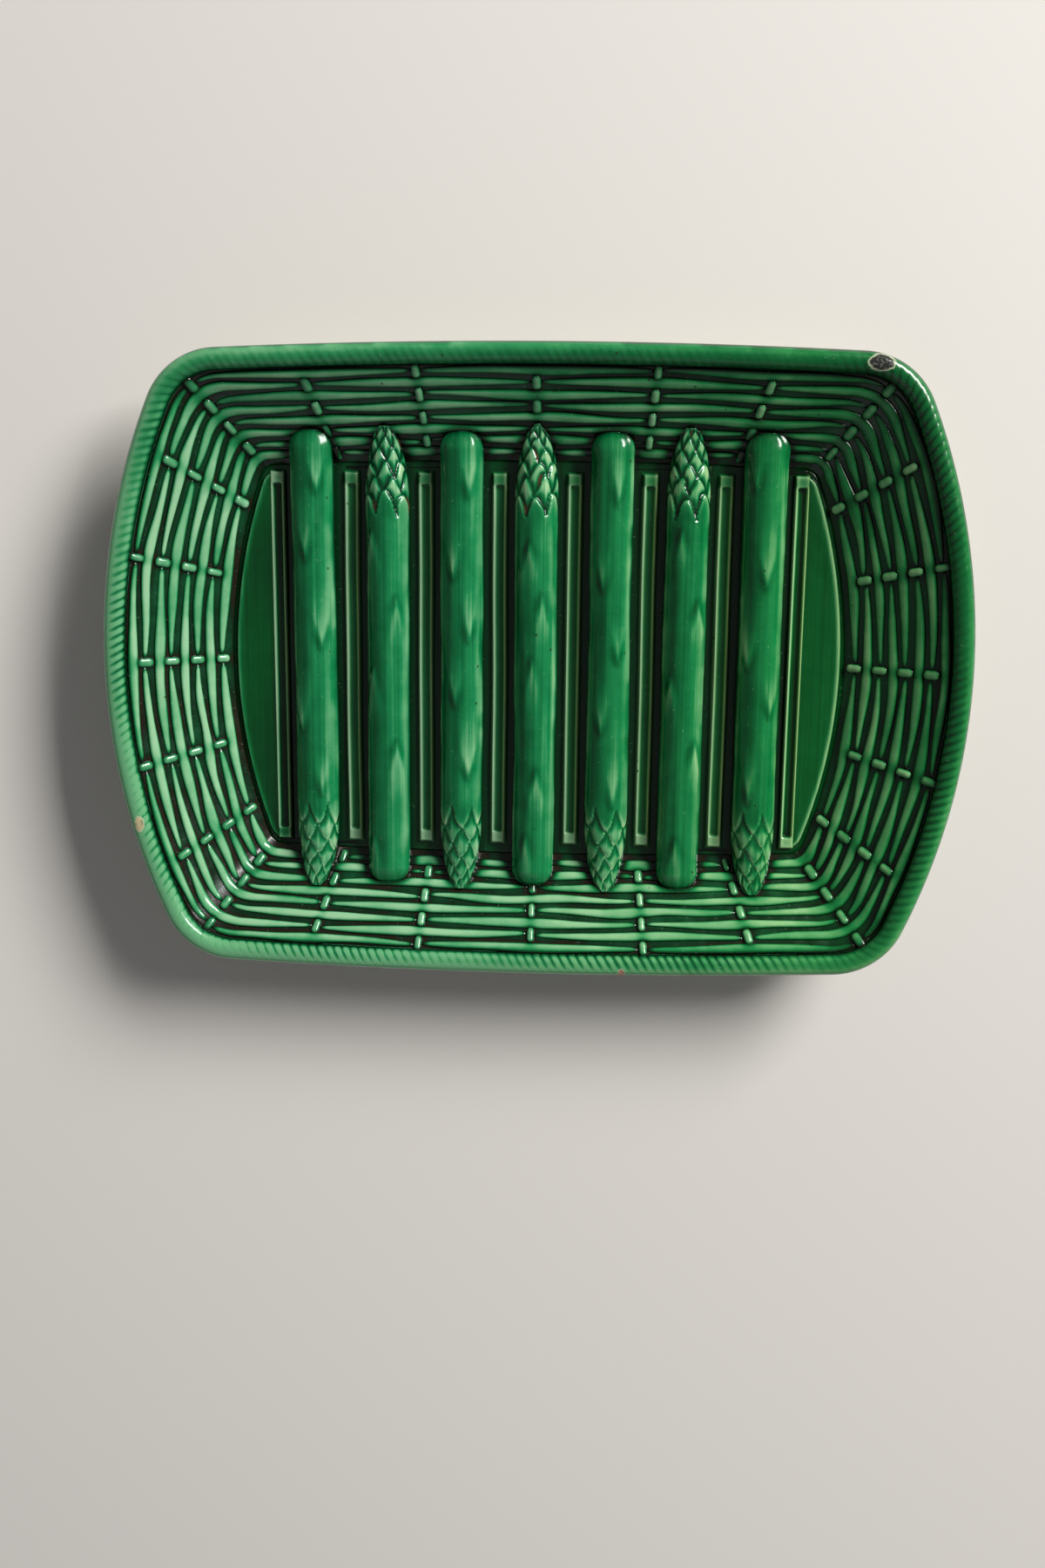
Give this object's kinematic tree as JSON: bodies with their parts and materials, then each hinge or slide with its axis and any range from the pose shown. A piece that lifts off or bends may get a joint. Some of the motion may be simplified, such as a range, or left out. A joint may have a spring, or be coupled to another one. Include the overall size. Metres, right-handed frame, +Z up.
{
  "type": "asparagus plate",
  "caption": "Glazed earthenware asparagus plate: barrel-shaped dish with rope rim, basket-weave wall and moulded spears laid side by side over a slotted floor.",
  "frame": {"origin": "middle of the plate's outline on the table, under the foot ring's tread", "axes": "+X along the plate's length, +Y along the spears (the far edge in the picture), +Z up out of the basin"},
  "size_m": [0.336, 0.245, 0.0391],
  "materials": {
    "dish_glaze": "green lead-type glaze, thin and pale on ridges, pooled dark in hollows",
    "rope_glaze": "green glaze broken pale along the crests, amber tint on the outer edge",
    "weaver_glaze": "green glaze, pale on the crown of each weaver",
    "stake_glaze": "green glaze worn pale over the raised stakes",
    "spear_glaze": "glossy green glaze with faint lengthwise streaks",
    "bar_glaze": "green glaze pooled nearly black in the slots",
    "panel_glaze": "flat glossy green glaze",
    "foot_clay": "bare buff earthenware tread under thin glaze"
  },
  "bodies": {
    "root": {"dish_body": "dish_glaze", "foot_ring": "foot_clay", "rope_rim": "rope_glaze", "weaver_row_1": "weaver_glaze", "weaver_row_2": "weaver_glaze", "weaver_row_3": "weaver_glaze", "weaver_row_4": "weaver_glaze", "weaver_row_5": "weaver_glaze", "weaver_row_6": "weaver_glaze", "weaver_row_7": "weaver_glaze", "weaver_row_8": "weaver_glaze", "stakes_right": "stake_glaze", "stakes_far": "stake_glaze", "stakes_left": "stake_glaze", "stakes_near": "stake_glaze", "stakes_corner": "stake_glaze", "spear_1": "spear_glaze", "spear_2": "spear_glaze", "spear_3": "spear_glaze", "spear_4": "spear_glaze", "spear_5": "spear_glaze", "spear_6": "spear_glaze", "spear_7": "spear_glaze", "slot_bar_1": "bar_glaze", "slot_bar_2": "bar_glaze", "slot_bar_3": "bar_glaze", "slot_bar_4": "bar_glaze", "slot_bar_5": "bar_glaze", "slot_bar_6": "bar_glaze", "end_panel_left": "panel_glaze", "end_panel_right": "panel_glaze"}
  },
  "joints": []
}
